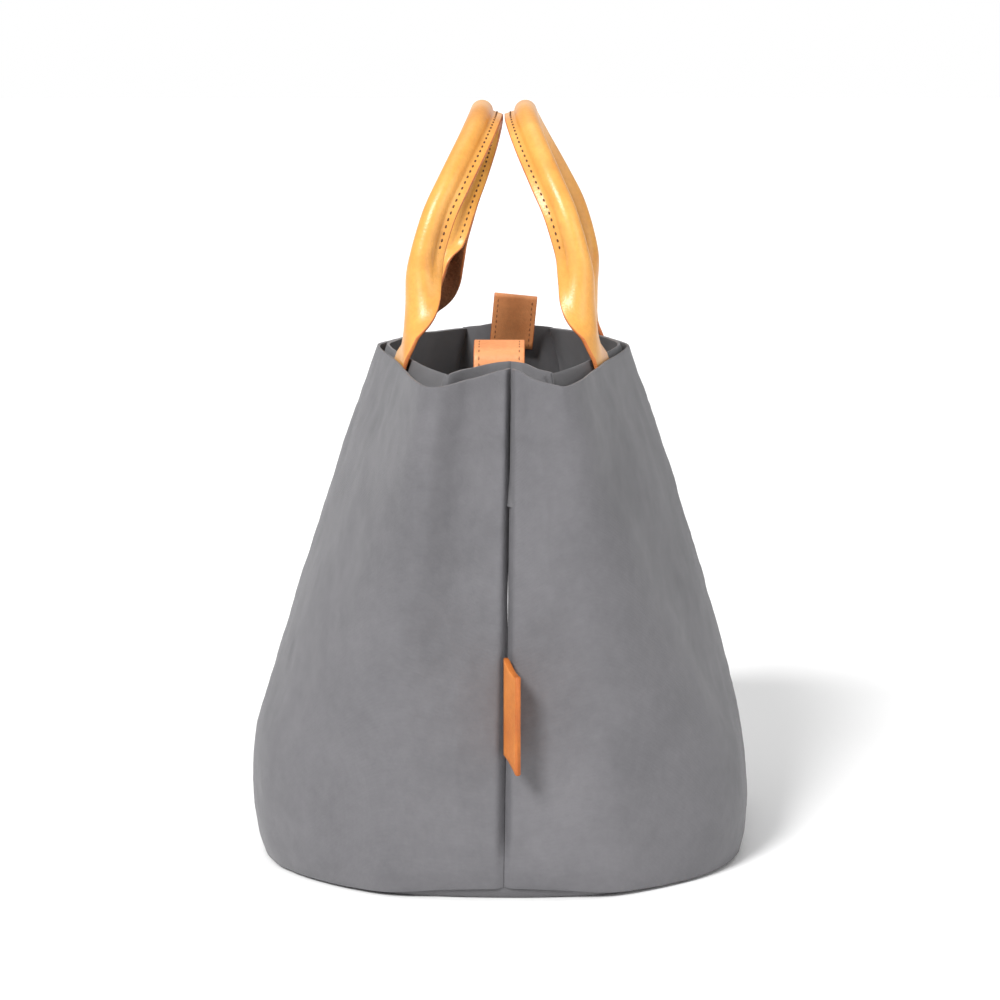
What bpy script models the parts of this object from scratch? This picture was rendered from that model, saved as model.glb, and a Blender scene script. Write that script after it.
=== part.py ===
"""Soft tote bag with two rolled leather handles, in metres with +Z up.

The bag stands on its base. The near end faces -Y, the sides face -X and +X, and the
origin is the middle of the flat underside of the base.
"""
import math
from collections import namedtuple

import bmesh
import bpy
from mathutils import Matrix, Vector

# Body
BODY_HEIGHT = 0.262
BASE_WIDTH = 0.262
BASE_LENGTH = 0.330
RIM_WIDTH = 0.134
RIM_LENGTH = 0.352
CLOTH_THICKNESS = 0.0015
SEAM_GAP = 0.0004
LAYER_GAP = 0.0005
WALL_EDGE_HEIGHT = 0.0015
SEAM_LIFT = 0.0045
SEAM_SWAY_TOP = 0.0060
SEAM_SWAY_FOOT = 0.0025
FAR_RIM_SAG = 0.0040

# Facing inside the rim
FACING_DEPTH = 0.070
FACING_SLACK = 0.011
FACING_TUCK = 0.008

# Base panel, a shallow tray
BASE_THICKNESS = 0.002
BASE_TURN_UP = 0.012
BASE_EDGE_RADIUS = 0.006

# Handles
LEATHER_THICKNESS = 0.002
HANDLE_RISE = 0.127
ROLL_DIAMETER = 0.012
FLANGE_WIDTH = 0.0055
FLANGE_SLIT = 0.0005
STRAP_WIDTH = 0.034
STRAP_DEPTH = 0.045
HANDLE_TOUCH_GAP = 0.0004
LEFT_HANDLE_SKEW = (0.0, 0.008)
RIGHT_HANDLE_SKEW = (-0.0015, 0.004)

# End tabs and seam tag
TAB_WIDTH = 0.025
TAB_LENGTH = 0.032
TAB_LEATHER = 0.0018
TAB_BELOW_RIM = 0.014
FAR_TAB_OFFSET = 0.002
NEAR_TAB_FOLD = math.radians(62)
NEAR_TAB_RADIUS = 0.006
FAR_TAB_LEAN = math.radians(5.5)
TAG_HEIGHT = 0.049
TAG_REACH = 0.020
TAG_LEATHER = 0.0028
TAG_MIDDLE_HEIGHT = 0.099
TAG_TURN = math.radians(18)
TAG_DROOP = 0.006

# Plan of a quarter of the wall, from the end seam to the middle of the side.
# rim_x, rim_y, base_x and base_y are shares of half the width and length, rim_rise,
# facing_rise and lift are shares of RIM_WIDTH, BODY_HEIGHT and SEAM_LIFT, slack and
# tuck are shares of FACING_SLACK and FACING_TUCK.
PlanRow = namedtuple(
    "PlanRow", "rim_x rim_y base_x base_y rim_rise facing_rise lift slack tuck")
PLAN = [
    PlanRow(0.00, 0.915, 0.00, 0.965, 0.022, 0.01, 1.00, 1.00, 0.00),
    PlanRow(0.23, 0.945, 0.23, 0.955, -0.01, 0.014, 0.75, 1.00, 0.10),
    PlanRow(0.46, 0.975, 0.46, 0.915, -0.032, 0.016, 0.15, 1.00, 0.60),
    PlanRow(0.60, 0.90, 0.72, 0.76, -0.022, 0.015, 0.00, 0.70, 1.00),
    PlanRow(0.715, 0.67, 0.885, 0.595, -0.008, 0.012, 0.00, 0.20, 0.45),
    PlanRow(0.80, 0.465, 0.968, 0.41, 0.00, 0.012, 0.00, 0.00, 0.05),
    PlanRow(0.93, 0.225, 0.995, 0.205, 0.006, 0.01, 0.00, 0.00, 0.00),
    PlanRow(1.00, 0.00, 1.00, 0.00, 0.01, 0.008, 0.00, 0.00, 0.00),
]
SIDE_MIDDLE = len(PLAN) - 1
STRAP_PLACE = 5.0
SWAY_ROWS = 2.5
COLUMNS_PER_ROW = (2, 2, 2, 3, 3, 3, 2)

# Levels of the wall. height is a share of the wall's height. width, length and plan
# run from 0 at the rim's size and outline to 1 at those of the base.
Level = namedtuple("Level", "height width length plan")
LEVELS = [
    Level(0.000, 0.945, 1.20, 1.00),
    Level(0.040, 0.980, 0.92, 1.00),
    Level(0.125, 0.992, 0.80, 0.98),
    Level(0.250, 0.938, 0.74, 0.91),
    Level(0.370, 0.822, 0.68, 0.81),
    Level(0.490, 0.682, 0.58, 0.69),
    Level(0.610, 0.532, 0.46, 0.55),
    Level(0.730, 0.380, 0.34, 0.41),
    Level(0.830, 0.248, 0.22, 0.27),
    Level(0.920, 0.112, 0.10, 0.13),
    Level(1.000, 0.000, 0.00, 0.00),
]

# Soft folds pressed in or out of the wall, each along a straight line between two
# places. Places count PLAN rows from the near seam, heights are shares of the wall's
# height, reach and depth are shares of RIM_WIDTH, and depth is positive inwards.
Fold = namedtuple("Fold", "side place_a height_a place_b height_b reach depth")
FOLDS = [
    Fold(-1, 2.0, 0.98, 1.7, 0.60, 0.11, -0.022),
    Fold(-1, 0.9, 0.95, 0.9, 0.66, 0.13, 0.022),
    Fold(1, 0.8, 1.02, 0.8, 0.60, 0.13, -0.024),
    Fold(1, 1.6, 0.92, 1.8, 0.60, 0.10, 0.014),
    Fold(1, 2.9, 1.02, 3.2, 0.82, 0.20, 0.014),
    Fold(1, 3.0, 0.86, 4.4, 0.30, 0.14, -0.012),
    Fold(1, 3.4, 0.80, 4.9, 0.34, 0.14, 0.018),
    Fold(-1, 3.1, 0.80, 3.9, 0.38, 0.16, 0.018),
    Fold(-1, 4.6, 0.44, 5.4, 0.14, 0.38, -0.020),
    Fold(-1, 4.8, 0.18, 5.8, 0.07, 0.30, -0.030),
    Fold(1, 4.4, 0.50, 5.2, 0.36, 0.30, 0.018),
    Fold(-1, 10.9, 0.90, 10.2, 0.45, 0.14, 0.020),
    Fold(1, 12.6, 0.92, 11.4, 0.50, 0.12, 0.018),
]

# Facing rows from its top edge down. depth is a share of FACING_DEPTH, slack a share
# of FACING_SLACK and room a share of what the strap between the layers takes.
FacingRow = namedtuple("FacingRow", "depth slack room")
FACING_ROWS = [
    FacingRow(0.00, 1.00, 1.00),
    FacingRow(0.16, 0.80, 1.00),
    FacingRow(0.42, 0.52, 1.00),
    FacingRow(0.72, 0.15, 1.00),
    FacingRow(1.00, 0.00, 0.00),
]

# Rows of a handle's leg from the rim to the apex. up is a share of HANDLE_RISE, along
# and across run from 1 at the foot to 0 at the apex, curl runs from 0 for a flat strap
# to 1 for a closed roll, tilt turns the roll's outer side upwards and turn turns it
# away from the middle of the arch, both in degrees.
LegRow = namedtuple("LegRow", "up along across curl tilt turn")
LEG_ROWS = [
    LegRow(0.110, 1.000, 0.935, 0.16, 12, 8),
    LegRow(0.220, 1.000, 0.885, 0.42, 6, 24),
    LegRow(0.350, 0.995, 0.860, 0.68, 8, 34),
    LegRow(0.450, 0.975, 0.810, 0.97, 11, 18),
    LegRow(0.600, 0.915, 0.650, 1.00, 15, 4),
    LegRow(0.740, 0.800, 0.415, 1.00, 19, 0),
    LegRow(0.880, 0.590, 0.170, 1.00, 20, 0),
    LegRow(0.970, 0.310, 0.030, 1.00, 20, 0),
    LegRow(1.000, 0.000, 0.000, 1.00, 19, 0),
]
STRAP_STATIONS = (1.0, 0.55, 0.22, 0.0)
ROLL_WRAP = math.radians(318)
ROLL_SIDES = 10
CORE_FILL = 0.8

FABRIC = dict(colour=(0.185, 0.182, 0.190), roughness=0.72, metallic=0.0)
FABRIC_DARK = dict(colour=(0.150, 0.148, 0.155), roughness=0.78, metallic=0.0)
LEATHER = dict(colour=(0.86, 0.44, 0.14), roughness=0.42, metallic=0.0)
TAB_TAN = dict(colour=(0.84, 0.42, 0.20), roughness=0.50, metallic=0.0)
TAG_TAN = dict(colour=(0.72, 0.26, 0.09), roughness=0.48, metallic=0.0)


def lerp(start, end, share):
    return start + (end - start) * share


def spline(values, place):
    """Value at a place on the smooth curve through evenly numbered values."""
    last = len(values) - 1
    first = min(max(int(math.floor(place)), 0), last - 1)
    t = place - first
    p1, p2 = values[first], values[first + 1]
    p0 = values[first - 1] if first > 0 else 2 * p1 - p2
    p3 = values[first + 2] if first + 2 <= last else 2 * p2 - p1
    return 0.5 * (2 * p1 + (p2 - p0) * t + (2 * p0 - 5 * p1 + 4 * p2 - p3) * t ** 2
                  + (3 * p1 - p0 - 3 * p2 + p3) * t ** 3)


def plan_values(field):
    """Values of a PLAN column round the half loop, with one more past each seam."""
    quarter = [getattr(row, field) for row in PLAN]
    across = -1 if field.endswith("_x") else 1
    along = -1 if field.endswith("_y") else 1
    half = [along * value for value in quarter] + quarter[-2::-1]
    return [across * half[1]] + half + [across * half[-2]]


PLAN_CURVES = {field: plan_values(field) for field in PlanRow._fields}


def plan(field, place):
    return spline(PLAN_CURVES[field], place + 1)


def level(field, height):
    """Value of a LEVELS column at a height, straight on past the rim."""
    rows = LEVELS
    index = 0
    while index < len(rows) - 2 and height > rows[index + 1].height:
        index += 1
    low, high = rows[index], rows[index + 1]
    share = (height - low.height) / (high.height - low.height)
    if share > 1 or share < 0:
        return lerp(getattr(low, field), getattr(high, field), share)
    return spline([getattr(row, field) for row in rows], index + share)


def wall_bottom(place):
    return WALL_EDGE_HEIGHT + SEAM_LIFT * plan("lift", place)


def wall_top(place):
    far = min(max((place - SIDE_MIDDLE) / SIDE_MIDDLE, 0.0), 1.0)
    return BODY_HEIGHT + RIM_WIDTH * plan("rim_rise", place) - FAR_RIM_SAG * far


def height_share(place, z):
    low = wall_bottom(place)
    return (z - low) / (wall_top(place) - low)


def fold_depth(side, place, height):
    """How far the folds press the wall inwards."""
    column = BASE_LENGTH / SIDE_MIDDLE / 2
    total = 0.0
    for fold in FOLDS:
        if fold.side != side:
            continue
        start = Vector((fold.place_a * column, fold.height_a * BODY_HEIGHT))
        end = Vector((fold.place_b * column, fold.height_b * BODY_HEIGHT))
        here = Vector((place * column, height * BODY_HEIGHT))
        line = end - start
        share = min(max((here - start).dot(line) / line.length_squared, 0.0), 1.0)
        away = (here - start - line * share).length / (fold.reach * RIM_WIDTH)
        total += fold.depth * RIM_WIDTH * math.exp(-away ** 2)
    return total * min(1.0, max(0.0, height) / LEVELS[3].height)


def seam_sway(place, height):
    """How far the near end seam leans to +X, dying out towards the end ridges."""
    near = max(0.0, 1 - max(0.0, place) / SWAY_ROWS)
    return lerp(SEAM_SWAY_FOOT, SEAM_SWAY_TOP, height) * near * near * (3 - 2 * near)


def bare_wall(side, place, height):
    """Point of the wall's outer face without its folds."""
    mix = level("plan", height)
    half_x = lerp(RIM_WIDTH, BASE_WIDTH, level("width", height)) / 2
    half_y = lerp(RIM_LENGTH, BASE_LENGTH, level("length", height)) / 2
    x = half_x * lerp(plan("rim_x", place), plan("base_x", place), mix)
    y = half_y * lerp(plan("rim_y", place), plan("base_y", place), mix)
    z = lerp(wall_bottom(place), wall_top(place), height)
    return Vector((side * (x + SEAM_GAP / 2) + seam_sway(place, height), y, z))


def wall_normal(side, place, height):
    """Outward direction of the wall, taken from points close by."""
    step = 0.02
    along = bare_wall(side, place + step, height) - bare_wall(side, place - step, height)
    up = bare_wall(side, place, height + step) - bare_wall(side, place, height - step)
    return along.cross(up).normalized() * side


def wall(side, place, height, inset=0.0):
    """Point at a depth below the wall's outer face."""
    push = inset + fold_depth(side, place, height)
    point = bare_wall(side, place, height) - wall_normal(side, place, height) * push
    seam_x = seam_sway(place, height)
    point.x = seam_x + side * max(side * (point.x - seam_x), SEAM_GAP / 2)
    return point


def wall_columns():
    """Places of the columns round the half loop."""
    quarter = [0.0]
    for row, count in enumerate(COLUMNS_PER_ROW):
        quarter += [row + (step + 1) / count for step in range(count)]
    return quarter + [2 * SIDE_MIDDLE - place for place in quarter[-2::-1]]


def material(name, colour, roughness, metallic):
    made = bpy.data.materials.new(name)
    made.use_nodes = True
    shader = made.node_tree.nodes["Principled BSDF"]
    shader.inputs["Base Color"].default_value = (*colour, 1)
    shader.inputs["Roughness"].default_value = roughness
    shader.inputs["Metallic"].default_value = metallic
    return made


def add_object(name, mesh_data, finish):
    """Close a bmesh into a named object with its own material."""
    bmesh.ops.recalc_face_normals(mesh_data, faces=mesh_data.faces)
    if mesh_data.calc_volume(signed=True) < 0:
        bmesh.ops.reverse_faces(mesh_data, faces=mesh_data.faces)
    mesh = bpy.data.meshes.new(name)
    mesh_data.to_mesh(mesh)
    mesh_data.free()
    mesh.shade_smooth()
    mesh.set_sharp_from_angle(angle=math.radians(45))
    mesh.materials.append(material(name, **finish))
    made = bpy.data.objects.new(name, mesh)
    bpy.context.scene.collection.objects.link(made)
    return made


def add_strip(mesh_data, loop_a, loop_b, closed):
    """Faces between two rows of vertices."""
    count = len(loop_a) if closed else len(loop_a) - 1
    for index in range(count):
        after = (index + 1) % len(loop_a)
        mesh_data.faces.new((loop_a[index], loop_a[after], loop_b[after], loop_b[index]))


def loft(name, loops, finish, capped=True):
    """Solid through closed loops, with flat caps, or joined end to end."""
    mesh_data = bmesh.new()
    rings = [[mesh_data.verts.new(point) for point in loop] for loop in loops]
    for low, high in zip(rings, rings[1:]):
        add_strip(mesh_data, low, high, closed=True)
    if capped:
        mesh_data.faces.new(rings[0])
        mesh_data.faces.new(rings[-1])
    else:
        add_strip(mesh_data, rings[-1], rings[0], closed=True)
    return add_object(name, mesh_data, finish)


def wall_panel(name, side, finish):
    """Outer wall of one side, from seam to seam."""
    places = wall_columns()
    loops = []
    for row in LEVELS:
        outer = [wall(side, place, row.height) for place in places]
        inner = [wall(side, place, row.height, CLOTH_THICKNESS) for place in places]
        loops.append(outer + inner[::-1])
    return loft(name, loops, finish)


def facing_point(side, place, row, depth=0.0):
    """Point of the facing, which hangs clear of the wall towards the ends."""
    room = (LEATHER_THICKNESS + LAYER_GAP) * row.room
    inset = CLOTH_THICKNESS + LAYER_GAP + room + depth
    point = wall(side, place, facing_height(place, row), inset)
    slack = FACING_SLACK * max(0.0, plan("slack", place)) * row.slack
    tuck = FACING_TUCK * max(0.0, plan("tuck", place)) * row.slack
    return point - Vector((side * tuck, math.copysign(slack, point.y), 0))


def facing_height(place, row):
    top = wall_top(place) + BODY_HEIGHT * plan("facing_rise", place)
    return height_share(place, top - FACING_DEPTH * row.depth)


def facing_panel(name, side, finish):
    """Inner layer of the rim, with the straps between it and the wall."""
    loops = []
    for row in FACING_ROWS:
        outer = [facing_point(side, place, row) for place in wall_columns()]
        inner = [facing_point(side, place, row, CLOTH_THICKNESS) for place in wall_columns()]
        loops.append(outer + inner[::-1])
    return loft(name, loops, finish)


def base_panel(name, finish):
    """Tray with a flat floor and an edge that turns up inside the walls."""
    places = wall_columns()
    seat = CLOTH_THICKNESS + LAYER_GAP
    turn = BASE_EDGE_RADIUS

    def ring(z, inset):
        left = [wall(-1, place, max(0.0, height_share(place, z)), inset) for place in places]
        right = [wall(1, place, max(0.0, height_share(place, z)), inset) for place in places]
        whole = left + right[::-1]
        return [Vector((point.x, point.y, z)) for point in whole]

    arc = [math.radians(angle) for angle in (0, 45, 90)]
    outer = [ring(turn * (1 - math.cos(a)), seat + turn * (1 - math.sin(a))) for a in arc]
    bend = turn - BASE_THICKNESS
    inner = [ring(turn - bend * math.cos(a), seat + turn - bend * math.sin(a)) for a in arc]
    top = [ring(BASE_TURN_UP, seat), ring(BASE_TURN_UP, seat + BASE_THICKNESS)]
    return loft(name, outer + top + inner[::-1], finish)


def section(curl, width):
    """Strap section as (along the strap's width, out of its grain face) pairs."""
    radius_closed = ROLL_DIAMETER / 2
    wrap = max(ROLL_WRAP * curl, math.radians(4))
    closed_arc = radius_closed * ROLL_WRAP
    arc_length = lerp(width - 2 * FLANGE_WIDTH, closed_arc, curl)
    radius = arc_length / wrap
    fill = CORE_FILL * max(0.0, curl - 0.75) / 0.25
    inner_radius = (radius - LEATHER_THICKNESS) * (1 - fill)
    flange_turn = min(wrap / 2, math.radians(90))
    flange = Vector((math.cos(flange_turn), -math.sin(flange_turn)))
    across = Vector((-flange.y, flange.x)) * -1
    outer, inner = [], []
    for index in range(ROLL_SIDES + 1):
        angle = wrap * (index / ROLL_SIDES - 0.5)
        spoke = Vector((math.sin(angle), math.cos(angle)))
        outer.append(spoke * radius - Vector((0, radius)))
        inner.append(spoke * inner_radius - Vector((0, radius)))
    end = outer[-1].copy()
    limit = LEATHER_THICKNESS + FLANGE_SLIT / 2
    end.x = max(end.x, limit)
    outer[-1], outer[0] = end, Vector((-end.x, end.y))
    root = end + across * LEATHER_THICKNESS
    tip = end + flange * FLANGE_WIDTH
    tip_inner = tip + across * LEATHER_THICKNESS
    inner[-1], inner[0] = root, Vector((-root.x, root.y))
    tip_other, tip_inner_other = (Vector((-point.x, point.y)) for point in (tip, tip_inner))
    return [tip_other] + outer + [tip, tip_inner] + inner[::-1] + [tip_inner_other]


def strap_foot(side, end, depth):
    """Handle section between the layers, at a depth below the rim."""
    middle = STRAP_PLACE if end < 0 else 2 * SIDE_MIDDLE - STRAP_PLACE
    height = height_share(middle, wall_top(middle) - depth)
    step = 0.1
    span = wall(side, middle + step, height) - wall(side, middle - step, height)
    per_metre = 2 * step / span.length
    points = []
    for across, out in section(0.0, STRAP_WIDTH):
        place = middle + end * across * per_metre
        points.append(wall(side, place, height, CLOTH_THICKNESS + LAYER_GAP - min(out, 0.0)))
    return points


def roll_reach():
    """Distance from the roll's outer side to the tip of its flange."""
    radius = ROLL_DIAMETER / 2
    return radius * (1 - math.cos(ROLL_WRAP / 2)) + FLANGE_WIDTH


def handle(name, side, skew, finish):
    """Strap that leaves the rim flat, closes into a roll and comes down again."""
    foot = wall(side, STRAP_PLACE, 1.0, CLOTH_THICKNESS + LAYER_GAP)
    tilt_top = math.radians(LEG_ROWS[-1].tilt)
    lip = (LEATHER_THICKNESS + FLANGE_SLIT) * math.sin(tilt_top)
    apex_x = roll_reach() * math.cos(tilt_top) + lip + HANDLE_TOUCH_GAP / 2

    def spine(end, row_place):
        up, along, across, curl, tilt, turn = (
            spline([getattr(row, field) for row in LEG_ROWS], row_place)
            for field in LegRow._fields)
        x = side * lerp(apex_x, abs(foot.x), across)
        x += skew[0 if end < 0 else 1] * math.sin(math.pi * min(up, 1.0))
        y = end * abs(foot.y) * along
        tilt, turn = math.radians(tilt), math.radians(turn)
        out = Vector((side * math.cos(tilt) * math.cos(turn), end * math.sin(turn),
                      math.sin(tilt) * math.cos(turn)))
        return Vector((x, y, BODY_HEIGHT + HANDLE_RISE * up)), min(curl, 1.0), out

    last = len(LEG_ROWS) - 1
    steps = [index / 2 for index in range(2 * last + 1)]
    stations = [(-1, place) for place in steps] + [(1, place) for place in steps[-2::-1]]
    spines = [spine(end, place) for end, place in stations]
    top = BODY_HEIGHT * PLAN[int(STRAP_PLACE)].facing_rise
    depths = [STRAP_DEPTH * share for share in STRAP_STATIONS] + [-top]
    loops = [strap_foot(side, -1, depth) for depth in depths]
    for index, (point, curl, out) in enumerate(spines):
        before = spines[index - 1][0] if index else foot
        after = spines[index + 1][0] if index + 1 < len(spines) else None
        tangent = ((after or Vector((foot.x, -foot.y, foot.z))) - before).normalized()
        width = tangent.cross(out).normalized() * -side
        out = (out - tangent * out.dot(tangent)).normalized()
        loops.append([point + width * w + out * o for w, o in section(curl, STRAP_WIDTH)])
    loops += [strap_foot(side, 1, depth) for depth in depths[::-1]]
    return loft(name, loops, finish)


def folded_strip(path, leather, slit):
    """Profile of a strip doubled over at its tip, as (out, up) pairs along a path."""
    half = slit / 2
    front, back = [], []
    for index, point in enumerate(path):
        before = path[max(index - 1, 0)]
        after = path[min(index + 1, len(path) - 1)]
        run = (after - before).normalized()
        out = Vector((run.y, -run.x))
        front.append((point + out * half, point + out * (half + leather)))
        back.append((point - out * half, point - out * (half + leather)))
    run = (path[-1] - path[-2]).normalized()
    out = Vector((run.y, -run.x))
    reach = half + leather
    cap = [path[-1] + out * reach * math.cos(a) + run * reach * math.sin(a)
           for a in (math.radians(45), math.radians(90), math.radians(135))]
    outer = [pair[1] for pair in front] + cap + [pair[1] for pair in back][::-1]
    inner = [pair[0] for pair in back] + [pair[0] for pair in front][::-1]
    return outer + inner


def tab(name, end, offset_x, fold, lean, finish):
    """Doubled leather tab sewn inside the facing, straight or folded over inwards."""
    rows = FACING_ROWS[0], FACING_ROWS[2]
    seam = 2 * SIDE_MIDDLE if end > 0 else 0.0
    high, low = [min((facing_point(side, seam, row, CLOTH_THICKNESS) for side in (-1, 1)),
                     key=lambda point: abs(point.y)) for row in rows]
    slit = LAYER_GAP
    offset = TAB_LEATHER + slit / 2 + LAYER_GAP
    slope = (Vector((abs(high.y), high.z)) - Vector((abs(low.y), low.z))).normalized()
    inwards = Vector((-slope.y, slope.x))
    if inwards.x > 0:
        inwards = -inwards
    start = Vector((abs(high.y), high.z)) - slope * TAB_BELOW_RIM + inwards * offset
    path = [start, start + slope * TAB_BELOW_RIM * 0.5, start + slope * TAB_BELOW_RIM]
    bends = 5
    turned = slope
    if fold:
        for index in range(bends):
            turn = fold * (index + 0.5) / bends
            turned = slope * math.cos(turn) + inwards * math.sin(turn)
            path.append(path[-1] + turned * NEAR_TAB_RADIUS * fold / bends)
        turned = slope * math.cos(fold) + inwards * math.sin(fold)
    used = TAB_BELOW_RIM + NEAR_TAB_RADIUS * fold
    rest = TAB_LENGTH - used - offset
    path += [path[-1] + turned * rest * share for share in (0.5, 1.0)]
    profile = folded_strip(path, TAB_LEATHER, slit)
    loops = [[Vector((offset_x + x, end * point.x, point.y)) for point in profile]
             for x in (-TAB_WIDTH / 2, TAB_WIDTH / 2)]
    pivot = Vector((offset_x, high.y, start.y))
    turn = Matrix.Translation(pivot) @ Matrix.Rotation(lean, 4, "Y") @ Matrix.Translation(-pivot)
    return loft(name, [[turn @ point for point in loop] for loop in loops], finish)


def seam_tag(name, finish):
    """Leather tag that stands out of the near seam and hangs a little."""
    steps = [0.0, 0.35, 0.7, 1.0]
    half = TAG_LEATHER / 2
    heights = [-0.5, -0.25, 0.0, 0.25, 0.5]
    shares = [height_share(0.0, TAG_MIDDLE_HEIGHT + TAG_HEIGHT * share) for share in heights]
    roots = [min(wall(side, place, share).y for side in (-1, 1) for place in (0.0, 0.15, 0.3))
             for share in shares]
    root_y = min(roots) - LAYER_GAP
    seam_x = seam_sway(0.0, shares[len(shares) // 2])
    loops = []
    for step in steps:
        x = seam_x + TAG_REACH * math.sin(TAG_TURN) * step
        y = root_y - TAG_REACH * math.cos(TAG_TURN) * step
        drop = TAG_DROOP * step ** 1.5
        side_step = Vector((math.cos(TAG_TURN), math.sin(TAG_TURN), 0)) * half
        low = Vector((x, y, TAG_MIDDLE_HEIGHT - TAG_HEIGHT / 2 - drop))
        high = Vector((x, y, TAG_MIDDLE_HEIGHT + TAG_HEIGHT / 2 - drop))
        loops.append([low - side_step, low + side_step, high + side_step, high - side_step])
    loops[0] = [Vector((point.x, root_y, point.z)) for point in loops[0]]
    return loft(name, loops, finish)


def build_bag():
    for old in list(bpy.data.objects):
        bpy.data.objects.remove(old)
    wall_panel("left_body_panel", -1, FABRIC)
    wall_panel("right_body_panel", 1, FABRIC)
    facing_panel("left_facing", -1, FABRIC_DARK)
    facing_panel("right_facing", 1, FABRIC_DARK)
    base_panel("base_panel", FABRIC_DARK)
    handle("left_handle", -1, LEFT_HANDLE_SKEW, LEATHER)
    handle("right_handle", 1, RIGHT_HANDLE_SKEW, LEATHER)
    tab("near_tab", -1, 0.0, NEAR_TAB_FOLD, 0.0, TAB_TAN)
    tab("far_tab", 1, FAR_TAB_OFFSET, 0.0, FAR_TAB_LEAN, TAB_TAN)
    seam_tag("seam_tag", TAG_TAN)


build_bag()
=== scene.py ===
import math
from collections import namedtuple

import bmesh
import bpy
from mathutils import Matrix, Vector, noise


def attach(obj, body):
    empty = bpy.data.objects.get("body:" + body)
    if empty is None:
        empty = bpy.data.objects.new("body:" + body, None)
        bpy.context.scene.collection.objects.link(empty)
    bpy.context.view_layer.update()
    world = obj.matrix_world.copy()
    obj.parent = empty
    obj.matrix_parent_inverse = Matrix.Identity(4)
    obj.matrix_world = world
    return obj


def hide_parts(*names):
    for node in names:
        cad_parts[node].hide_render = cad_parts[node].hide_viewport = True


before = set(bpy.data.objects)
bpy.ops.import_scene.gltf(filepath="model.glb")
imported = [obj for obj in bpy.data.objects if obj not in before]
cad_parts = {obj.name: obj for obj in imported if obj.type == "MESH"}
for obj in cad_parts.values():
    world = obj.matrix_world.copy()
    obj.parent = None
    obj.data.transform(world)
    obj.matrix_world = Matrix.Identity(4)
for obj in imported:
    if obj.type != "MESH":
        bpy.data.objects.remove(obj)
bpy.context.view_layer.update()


# Small helpers

def lerp(start, end, share):
    return start + (end - start) * share


def smoothStep(low, high, value):
    share = min(max((value - low) / (high - low), 0.0), 1.0)
    return share * share * (3 - 2 * share)


def spline(values, place):
    # value on the smooth curve through evenly numbered values
    last = len(values) - 1
    first = min(max(int(math.floor(place)), 0), last - 1)
    t = place - first
    p1, p2 = values[first], values[first + 1]
    p0 = values[first - 1] if first > 0 else 2 * p1 - p2
    p3 = values[first + 2] if first + 2 <= last else 2 * p2 - p1
    return 0.5 * (2 * p1 + (p2 - p0) * t + (2 * p0 - 5 * p1 + 4 * p2 - p3) * t ** 2
                  + (3 * p1 - p0 - 3 * p2 + p3) * t ** 3)


def startRing(bm, points, closed=True):
    # a few vertices joined in a loop, ready to extrude
    ring = [bm.verts.new(point) for point in points]
    pairs = zip(ring, ring[1:] + ring[:1]) if closed else zip(ring, ring[1:])
    for low, high in pairs:
        bm.edges.new((low, high))
    return ring


def extrudeRing(bm, ring, points, slots=None):
    # extrude the ring's edges and put its new vertices at the points
    count = len(ring)
    edges = [bm.edges.get((ring[i], ring[(i + 1) % count])) for i in range(count)]
    edges = [edge for edge in edges if edge]
    made = bmesh.ops.extrude_edge_only(bm, edges=edges)["geom"]
    fresh = {item for item in made if isinstance(item, bmesh.types.BMVert)}
    after = []
    for vert in ring:
        after.append(next(e.other_vert(vert) for e in vert.link_edges if e.other_vert(vert) in fresh))
    for vert, point in zip(after, points):
        vert.co = point
    if slots:
        for i in range(count):
            neighbour = ring[(i + 1) % count]
            for face in after[i].link_faces:
                if ring[i] in face.verts and neighbour in face.verts:
                    face.material_index = slots[i]
    return after


def closeRing(bm, ring, slot=0):
    face = bm.faces.new(ring)
    face.material_index = slot
    return face


def finishPiece(name, bm, materials, replaces=(), bevel=None, solidify=None):
    # turn a bmesh into a piece at the origin that rides on the bag
    if bm.calc_volume(signed=True) < 0 and not solidify:
        bmesh.ops.reverse_faces(bm, faces=bm.faces)
    mesh = bpy.data.meshes.new(name)
    bm.to_mesh(mesh)
    bm.free()
    for material in materials:
        mesh.materials.append(material)
    mesh.shade_smooth()
    piece = bpy.data.objects.new(name, mesh)
    bpy.context.scene.collection.objects.link(piece)
    print("  piece", piece.name, len(mesh.polygons), "faces")
    if solidify:
        wall = piece.modifiers.new("wall", "SOLIDIFY")
        wall.thickness = solidify
        wall.offset = -1
        wall.use_even_offset = False
        wall.use_rim = True
    if bevel:
        edge = piece.modifiers.new("edge", "BEVEL")
        edge.width = bevel
        edge.segments = 2
        edge.limit_method = "ANGLE"
        edge.angle_limit = math.radians(50)
        edge.harden_normals = False
    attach(piece, "root")
    if replaces:
        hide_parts(*replaces)
    return piece


# Camera and stage

view = {
    "place": (0.0261, -1.655, 0.4066),
    "yaw": 0.971,     # degrees to the left of +Y
    "pitch": 7.824,   # degrees down
    "lens": 111.7,
    "sensor": 36.0,
}


def addCamera():
    data = bpy.data.cameras.new("camera")
    data.lens = view["lens"]
    data.sensor_width = view["sensor"]
    data.clip_end = 50
    camera = bpy.data.objects.new("camera", data)
    camera.location = view["place"]
    camera.rotation_euler = (math.radians(90 - view["pitch"]), 0, math.radians(view["yaw"]))
    bpy.context.scene.collection.objects.link(camera)
    bpy.context.scene.camera = camera


stage = {
    "floorSize": 200.0,
    "floorColour": (0.99, 0.99, 0.99),
    "worldLow": 0.42,     # brightness of the room around the bag
    "worldHigh": 1.0,     # brightness of the backdrop behind it
    "suns": [  # name, place that it shines from, spread in degrees, strength
        ("keyLight", (-1.1, -2.0, 1.7), 16, 3.3),
        ("fillLight", (2.0, -1.6, 1.0), 40, 0.75),
        ("topLight", (-0.2, 0.3, 2.0), 50, 0.6),
    ],
}


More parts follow.
